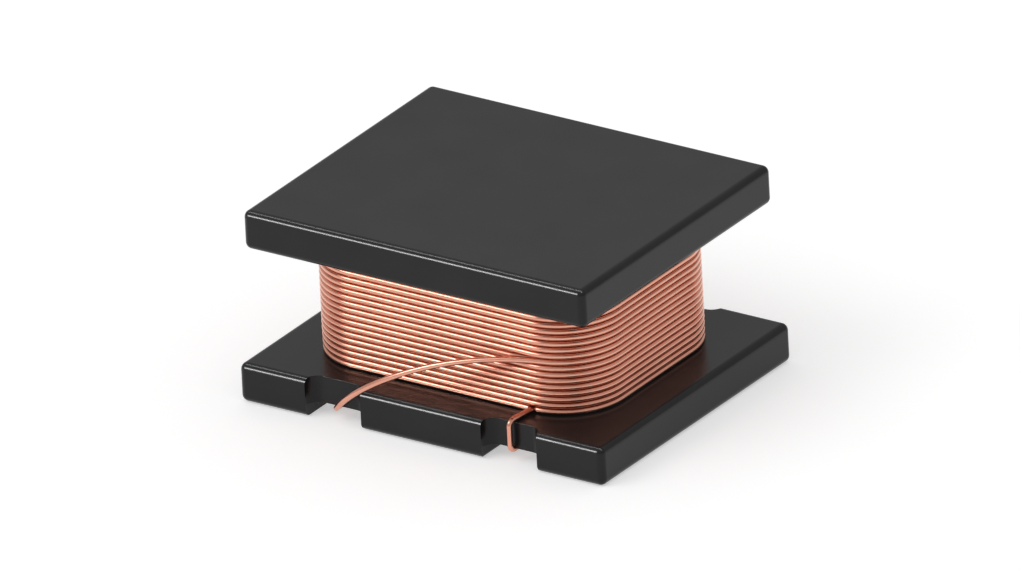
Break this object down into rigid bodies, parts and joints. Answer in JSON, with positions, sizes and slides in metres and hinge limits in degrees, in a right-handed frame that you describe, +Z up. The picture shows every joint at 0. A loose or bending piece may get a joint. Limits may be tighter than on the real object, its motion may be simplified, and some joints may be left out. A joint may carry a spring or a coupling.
{
  "type": "surface mount wire-wound inductor",
  "caption": "Low rectangular wire-wound inductor: black ferrite core with two flat plates, fine copper winding between them, notched and grooved base with tinned terminals for a circuit board.",
  "frame": {"origin": "middle of the underside, in the plane of the board that the part stands on", "axes": "+X along the base plate's length, +Y across it away from the side with the leads, +Z up from the board"},
  "size_m": [0.0032, 0.0025, 0.0016],
  "materials": {
    "ferrite": "smooth black sintered ferrite with a satin gloss",
    "copper_wire": "bright enamelled copper wire",
    "tinned_layer": "matt tinned metal layer",
    "solder": "smooth solder"
  },
  "bodies": {
    "root": {"ferrite_core": "ferrite", "winding": "copper_wire", "left_terminal": "tinned_layer", "right_terminal": "tinned_layer", "left_solder": "solder", "right_solder": "solder"}
  },
  "joints": []
}
